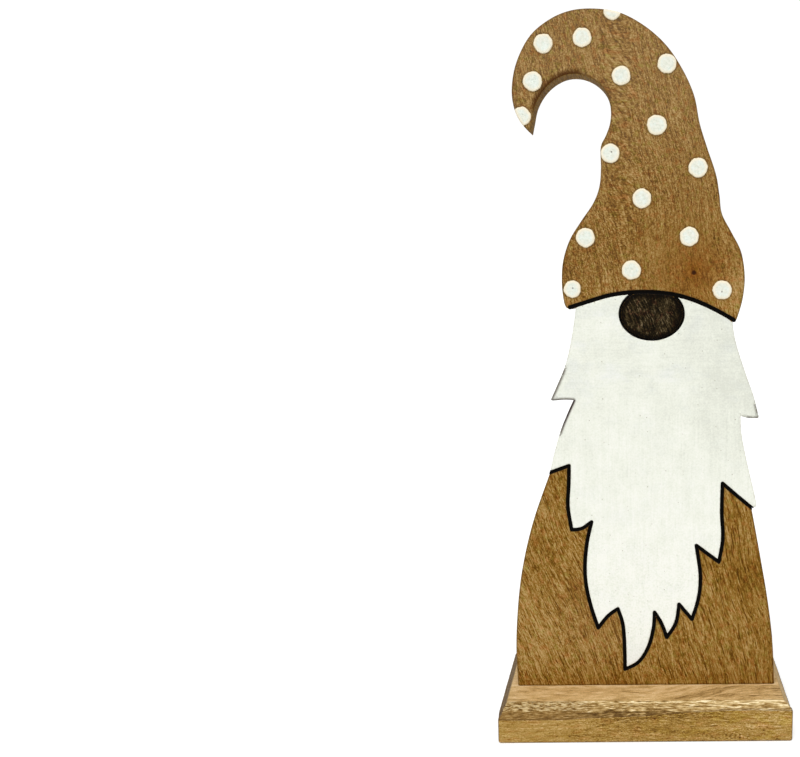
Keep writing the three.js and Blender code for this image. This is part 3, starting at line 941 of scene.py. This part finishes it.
def base_wood():
    g = Material("base_wood")
    zone = g.attribute("zone")
    rise = g.attribute("rise") - RISE_ZERO
    flat_top = g.fade(zone, 1.4, 1.6)
    above_wall = g.fade(zone, 0.4, 0.6)
    chamfer = above_wall - flat_top
    sway = g.noise(g.place, (60, 30, 20)) * 8
    ripple = g.noise(g.place, (11, 20, 5)) * 1.6
    swirl = spot(g, 56, 6, 15, 1) * g.noise(g.place, (6, 6, 4))
    lift = g.z + sway + ripple + swirl * 10
    ring_x, ring_z = (g.x - 56) * 0.7, g.z - 4.2
    ring_reach = g.math("SQRT", ring_x * ring_x + ring_z * ring_z)
    rings = g.math("SINE", ring_reach * 3.4) * g.fade(ring_reach, 4.4, 2.2)
    grain = g.vector(g.x, g.y + sway, lift)
    bands = g.noise(grain, (50, 7, 3.2), 3)
    streaks = g.noise(grain, (10, 2.5, 0.9))
    fibres = g.noise(grain, (3.2, 1.1, 0.6), 3, 0.65)
    crumbs = g.noise(g.place, (1, 1, 0.7), 2, 0.7)
    pores = g.dashes(grain, (2.6, 1.5, 1.1), 0.4, 0.5)
    dark_lines = g.dashes(g.moved(grain, 9, 4, 3), (13, 2.5, 1.4), 0.36, 0.35)
    torn = g.noise(g.vector(g.x, 0, g.z + sway * 0.4), (3.4, 1, 0.5), 3, 0.7)
    waves = g.noise(g.vector(g.x, 0, g.z), (13, 1, 1.1))

    front_torn = g.fade(rise + waves * 6, -8.5, -1) * g.fade(g.x, -48, -10) * g.fade(g.x, 66, 34)
    fine = streaks * 0.7 + fibres * 1.3 + crumbs * 1.2 - pores * 0.42 - dark_lines * 0.36
    tone = 0.58 + bands * 0.55 + fine * g.fade(g.x, -70, -20, 0.76, 1.1)
    tone += front_torn * (torn * 3 - 0.2)
    tone += rings * 0.16 + g.fade(g.x, -70, -20, 0.04, -0.07) + g.fade(g.x, 20, 60, 0, 0.08)

    climb = g.fade(g.x, 0, 75, 0, 22)
    level = g.y - climb + g.noise(g.place, (24, 12, 9), 1) * 3
    on_top = g.vector(g.x, level, g.z)
    rays = g.noise(on_top, (8, 1.7, 4), 3, 0.6)
    figure = g.noise(on_top, (30, 5, 30))
    off_vein = abs(level + 41 + rays * 5)
    vein = g.fade(off_vein, 0.3, 2.4, 1, 0) * g.fade(g.x, 2, 26) * g.fade(g.x, 84, 60)
    before_vein = g.fade(level, -41, -44) * g.fade(g.x, 0, 20)
    # The top is lighter than the front: partly its own grain, partly painted light from above.
    top_tone = 0.6 + figure * 0.7 + crumbs * 0.9
    top_tone += rays * (1.8 + before_vein) + g.fade(g.y, -22, -19.5, 0, 0.2)
    top_tone -= vein * 0.4 + before_vein * 0.14
    top_wood_and_light = g.ramp(top_tone, [
        (0, (136, 104, 56)), (0.35, (182, 147, 92)), (0.6, (207, 170, 112)), (1, (232, 200, 150)),
    ])

    # The upper band of the chamfer is paler, with bright torn wisps on the left: painted
    # highlights.
    highlit_band = g.fade(g.z + waves * 1.6, 20.2, 21.4)
    # A bright line along the chamfer's upper edge: a painted highlight.
    crest = g.fade(g.z, 24, 25) * g.fade(g.x, -66, -40)
    left = g.fade(g.x, -30, -62)
    wavy = g.vector(g.x, 0, g.z + waves * 1.5)
    short_wisps, long_wisps = g.noise(wavy, (5, 1, 0.45)), g.noise(wavy, (14, 1, 0.5))
    bright = left * highlit_band
    torn_gain = 1.9 + bright * 2.8 + g.fade(g.x, 10, 50, 0, -0.8)
    torn_tone = 0.35 + torn * torn_gain + highlit_band * 0.27
    torn_tone += short_wisps * (1.3 + bright * 3)
    long_gain = g.fade(g.x, 10, 50, 1.9, 2.8) - left * 0.9
    torn_tone += long_wisps * long_gain + crest * 0.18
    torn_tone += g.fade(g.x, -60, -20, 0, -0.2) + g.fade(g.x, 10, 50, 0, 0.15)
    torn_shade = g.ramp(torn_tone, [
        (0, (84, 56, 14)), (0.3, (144, 110, 54)), (0.55, (186, 154, 98)), (0.8, (221, 194, 140)),
        (1, (252, 234, 190)),
    ])

    shade = g.ramp(tone, [
        (0, (84, 52, 6)), (0.25, (126, 90, 26)), (0.5, (161, 125, 54)), (0.75, (188, 153, 88)),
        (1, (222, 192, 138)),
    ])
    yellow = g.fade(g.noise(grain, (9, 6, 4)), 0, 0.12) * g.fade(g.x, -20, 40, 0.35, 1)
    shade = g.tint(yellow * 0.6, shade, (246, 246, 180))
    pink = g.fade(g.noise(g.moved(grain, 70, 3, 8), (10, 6, 3)), 0.03, 0.14)
    shade = g.tint(pink * 0.4, shade, (255, 226, 214))
    torn_shade = g.tint(left, torn_shade, (255, 248, 232))
    shade = g.mix(above_wall, shade, torn_shade)
    shade = g.mix(flat_top, shade, top_wood_and_light)
    crack = g.fade(abs(rise + waves * 1.4), 0.25, 0.75, 0.75, 0)
    crack = crack * g.fade(waves + crumbs, -0.2, 0.15, 1, 0.4)
    crack = crack * (g.fade(g.x, -58, -30, 1, 0.5) + g.fade(g.x, 15, 50, 0, 0.5))
    shade = g.mix(crack, shade, (92, 62, 22))
    top_border = g.fade(abs(zone - 1.4), 0.55, 0.3) * g.fade(g.x, -30, -50)
    shade = g.mix(top_border * 0.6, shade, (110, 80, 36))

    at_end = g.fade(abs(g.facing(0)), 0.35, 0.65, 0, 0.88)
    # The right end's chamfer is painted lighter than the left end's: a painted highlight where the
    # light falls on it.
    right = g.fade(g.x, 0, 20) * chamfer
    end_low = g.mix(right, (80, 58, 36), (176, 146, 98))
    end_high = g.mix(right, (132, 108, 78), (214, 184, 136))
    end_shade = g.mix(g.fade(crumbs + torn, -0.2, 0.2), end_low, end_high)
    end_shade = g.mix(right * g.fade(rise, 0.4, 1.8, 0.8, 0), end_shade, (88, 82, 78))
    shade = g.mix(at_end, shade, end_shade)
    # Darker along the bottom edge: painted shade where the base meets the floor.
    shade = g.mix(g.fade(g.z + crumbs * 1.5, 0.4, 1.6, 0.4, 0), shade, (96, 70, 36))

    height = pores * -0.08 + fibres * 0.1 - dark_lines * 0.06 + chamfer * torn * 0.4
    rough = 0.55 + fibres * 0.25 + chamfer * 0.15
    return g.finish(shade, rough, height, 0.8, Specular_IOR_Level=0.18)


def beard_paint():
    g = Material("beard_paint")
    downward = g.noise(g.place, (1.1, 2, 22), 3, 0.6)
    level = g.noise(g.place, (16, 2, 1.1), 3, 0.6)
    strokes = g.add("ShaderNodeMix", {0: g.fade(g.z, 195, 235, 0, 0.75), 2: downward, 3: level})
    clouds = g.noise(g.place, (16, 18, 20), 4, 0.6)
    grit = g.noise(g.place, (1.2, 1.2, 1.2), 2, 0.6)
    speck = g.dashes(g.place, (4, 9, 4), 0.12, 0.5)
    greyer = g.fade(g.x, 0, 66) * g.fade(g.z, 140, 225)
    tone = 0.66 + clouds * 1.1 + strokes * 0.8 + g.fade(g.z, 60, 280, 0.16, -0.2)
    tone += grit * g.fade(g.z, 80, 150, 2, 1.1) - greyer * 0.4
    shade = g.ramp(tone, [(0, (228, 230, 217)), (0.5, (244, 246, 233)), (1, (255, 255, 246))])
    bluish = g.fade(g.noise(g.moved(g.place, 40, 0, 9), (20, 14, 13), 4, 0.6), -0.06, 0.22)
    bluish = bluish * g.fade(g.z, 190, 240, 0.1, 0.4) + g.fade(g.z, 66, 40, 0, 0.4)
    shade = g.tint(bluish, shade, (238, 240, 250))
    shade = g.mix(speck * 0.6, shade, (150, 140, 112))
    rim = g.attribute("rim")
    grime = g.fade(g.noise(g.place, (2.2, 3, 3.2), 3, 0.6), -0.05, 0.2)
    shade = g.mix(g.fade(rim, 0.05, 1.3, 0.4, 0) * grime, shade, (160, 150, 124))
    shade = g.mix(g.fade(rim, 0.02, 0.35, 0.2, 0), shade, (206, 196, 164))
    tuft = spot(g, -57, 222, 11, 3) * 0.9 + spot(g, 68, 211, 11, 3) * 0.9
    left_edge = g.fade(g.x, -40, -44) * g.fade(g.z, 192, 200) * g.fade(g.z, 247, 236)
    # The paint is worn through at the two tufts and along the left edge.
    darkened_edge = g.fade(tuft + left_edge - 0.25 + grit * 1.6, 0.2, 0.7)
    shade = g.mix(darkened_edge * g.fade(rim, 0.4, 2.4, 0.85, 0), shade, (74, 60, 44))
    # A dark line below the left notch: painted shade on the shadowed side edge.
    notch_side_shade = g.fade(g.z, 192, 212) * g.fade(g.z, 219.5, 218.5) * g.fade(g.x, -43, -45)
    shade = g.mix(notch_side_shade * g.fade(rim, 0.6, 1.6, 0.95, 0), shade, (52, 34, 34))
    height = strokes * 0.16 + g.noise(g.place, (1.6, 2, 2.4)) * 0.12 - speck * 0.3
    return g.finish(shade, 0.62 + strokes * 0.2, height, 0.8, Specular_IOR_Level=0.2)


# The middles of the dots where a drop left a dark pit, as [x, z].
DOT_DIMPLES = [(-20.6, 372.6), (-45.2, 289.6), (48.0, 287.4)]


def dot_paint():
    g = Material("dot_paint")
    dabs = g.noise(g.place, (1.6, 2.4, 1.6), 3, 0.65)
    pit = g.dashes(g.place, (2.4, 3, 2.4), 0.1, 0.3)
    rim = g.attribute("rim")
    tone = 0.5 + dabs * 1.8
    shade = g.ramp(tone, [(0, (218, 226, 214)), (0.5, (240, 247, 236)), (1, (255, 255, 250))])
    shade = g.mix(pit * 0.5, shade, (170, 164, 140))
    tint = g.fade(g.noise(g.moved(g.place, 8, 0, 5), (3.5, 3, 3.5)), -0.12, 0.12)
    shade = g.tint(tint * 0.6, shade, (255, 246, 238))
    shade = g.mix(g.fade(rim, 0.5, 2.4, 0.85, 0), shade, (255, 243, 216))
    shade = g.mix(g.fade(rim, 0.05, 0.5, 0.55, 0), shade, (222, 200, 156))
    dimple = sum(spot(g, *centre, 0.75, 0.2) for centre in DOT_DIMPLES)
    shade = g.mix(dimple * 0.7, shade, (96, 92, 84))
    height = dabs * 0.18 - (pit * 0.25 + dimple * 0.3)
    return g.finish(shade, 0.55 + dabs * 0.3, height, 0.9, Specular_IOR_Level=0.2)


def outline_paint():
    g = Material("outline_paint")
    streaks = g.noise(g.place, (1.2, 1.2, 1.2), 3, 0.6)
    shade = g.ramp(0.5 + streaks, [(0.2, (4, 3, 2)), (0.8, (14, 12, 10))])
    return g.finish(shade, 0.5 + streaks * 0.4, streaks * 0.12, 0.6, Specular_IOR_Level=0.03)


def nose_stain():
    g = Material("nose_stain")
    sway = g.noise(g.place, (16, 40, 16)) * 5
    grain = g.vector(g.x + g.z * 0.38 + sway, g.y, g.z)
    fibres = g.noise(grain, (0.55, 1.2, 5.5), 3, 0.7)
    crumbs = g.noise(grain, (0.8, 1.2, 0.9), 2, 0.7)
    scratch = g.dashes(grain, (0.7, 1.6, 8), 0.34, 0.32)
    clouds = g.noise(g.place, (8, 9, 8))
    rim = g.attribute("rim")
    tone = 0.42 + fibres * 2.1 + crumbs * 1.6 + scratch * 0.55
    tone += clouds * 0.8 + g.fade(rim, 0.2, 3.2, -0.5, 0)
    shade = g.ramp(tone, [
        (0, (8, 4, 0)), (0.4, (33, 24, 8)), (0.7, (74, 61, 36)), (1, (130, 114, 88)),
    ])
    reddish = g.fade(g.noise(g.place, (4, 9, 4)), 0.02, 0.14)
    shade = g.tint(reddish * 0.7, shade, (255, 196, 206))
    cool = g.fade(g.noise(g.moved(g.place, 30, 0, 9), (5, 9, 5)), 0.06, 0.16)
    shade = g.mix(cool * scratch * 0.8, shade, (104, 112, 112))
    height = fibres * 0.12 + scratch * 0.05
    return g.finish(shade, 0.55 + fibres * 0.4, height, 0.8, Specular_IOR_Level=0.06)


def screw_steel():
    g = Material("screw_steel")
    turned = g.noise(g.place, (3, 3, 0.25), 3, 0.6)
    stain = g.noise(g.place, (1.5, 1.5, 1.5))
    shade = g.ramp(0.5 + stain + turned * 0.4, [
        (0.2, (150, 150, 148)), (0.6, (196, 197, 198)), (0.9, (214, 210, 196)),
    ])
    rough = 0.34 + turned * 0.3 + stain * 0.2
    return g.finish(shade, rough, turned * 0.03, 0.5, Metallic=1)


# ---- build

figure = build_figure_board(figure_wood())
base = build_base_board(base_wood())
steel = screw_steel()
for screw_node in ("base_screw_left", "base_screw_right"):
    for board in (figure, base):
        cut_away(board, screw_clearance(screw_node))
    build_screw(screw_node, steel)

film(
    "beard_enamel", beard_paint(), "beard_paint",
    coat=0.4, roundness=0.5, step=1.2, grid=2.2, ragged=0.08, relief=brushed_relief,
)
black = outline_paint()
for line_node in ("brim_line", "beard_line", "nose_outline"):
    film(line_node, black, "outline_paint", coat=0.5, roundness=0.7, step=0.8, grid=0.5, grow=0.3)
film(
    "nose_stain", nose_stain(), "nose_stain",
    coat=0.12, roundness=0.5, step=0.9, grid=1.6, ragged=0.06,
)
dots = dot_paint()
for number, dot_node in enumerate(dot_nodes):
    low, high = cad_box_mm(dot_node)
    relief = dab_relief((low + high)[[0, 2]] / 2, number)
    film(
        dot_node, dots, "dot_paint",
        coat=0.5, roundness=1.0, step=0.8, grid=0.7, ragged=0.4, grow=-0.08, relief=relief,
    )

# ---- stage, light and camera

FLOOR_SIZE = 60.0
FLOOR_GLOW = 0.42
SKY_GLOW, SKY_SEEN = 0.44, 1.05


def floor_material():
    g = Material("floor_paper")
    tone = g.noise(g.place, (400, 400, 400))
    shade = g.ramp(0.5 + tone, [(0.3, (236, 237, 236)), (0.7, (240, 241, 240))])
    glow = g.add("ShaderNodeLightPath", out="Is Camera Ray") * FLOOR_GLOW
    return g.finish(shade, 0.9, tone, 0, Emission_Color=(1, 1, 1, 1), Emission_Strength=glow)


far = FLOOR_SIZE / 2
floor_mesh = bpy.data.meshes.new("floor")
floor_corners = [(-far, -far, 0), (far, -far, 0), (far, far, 0), (-far, far, 0)]
floor_mesh.from_pydata(floor_corners, [], [(0, 1, 2, 3)])
floor_mesh.materials.append(floor_material())
new_object("floor", floor_mesh)


def sun(name, strength, elevation, azimuth, softness):
    """A soft far light, from the front at azimuth 0 and from the viewer's right at 90."""
    light = bpy.data.lights.new(name, "SUN")
    light.energy = strength * math.pi
    light.angle = math.radians(softness)
    e, a = math.radians(elevation), math.radians(azimuth)
    towards = Vector((math.sin(a) * math.cos(e), -math.cos(a) * math.cos(e), math.sin(e)))
    new_object(name, light).rotation_euler = towards.to_track_quat("Z", "Y").to_euler()


sun("key", strength=0.56, elevation=58, azimuth=-14, softness=50)
sun("fill", strength=0.1, elevation=20, azimuth=35, softness=90)

world = bpy.data.worlds.new("studio")
sky = Nodes(world)
seen = sky.add("ShaderNodeLightPath", out="Is Camera Ray")
glow = {"Color": (1, 1, 1, 1), "Strength": sky.fade(seen, 0, 1, SKY_GLOW, SKY_SEEN)}
sky.add("ShaderNodeOutputWorld", {0: sky.add("ShaderNodeBackground", glow)}, out=None)
bpy.context.scene.world = world
bpy.context.scene.view_settings.view_transform = "Standard"

# The camera that the photo's perspective gives.
FRAME_WIDTH = 800
AXIS_X = 645
FOCAL_PIXELS = 900
CAMERA_X, CAMERA_BEFORE, CAMERA_Z = -0.0086, 0.5745, 0.3144
CAMERA_DOWN, CAMERA_RIGHT = 8.24, 0.86
camera = bpy.data.cameras.new("camera")
camera.sensor_width = 36
camera.lens = camera.sensor_width * FOCAL_PIXELS / FRAME_WIDTH
camera.shift_x = 0.5 - AXIS_X / FRAME_WIDTH
camera.clip_end = 200
viewpoint = new_object("camera", camera)
viewpoint.location = (CAMERA_X, MIDDLE / PER_METRE - CAMERA_BEFORE, CAMERA_Z)
viewpoint.rotation_euler = (math.radians(90 - CAMERA_DOWN), 0, math.radians(-CAMERA_RIGHT))
bpy.context.scene.camera = viewpoint
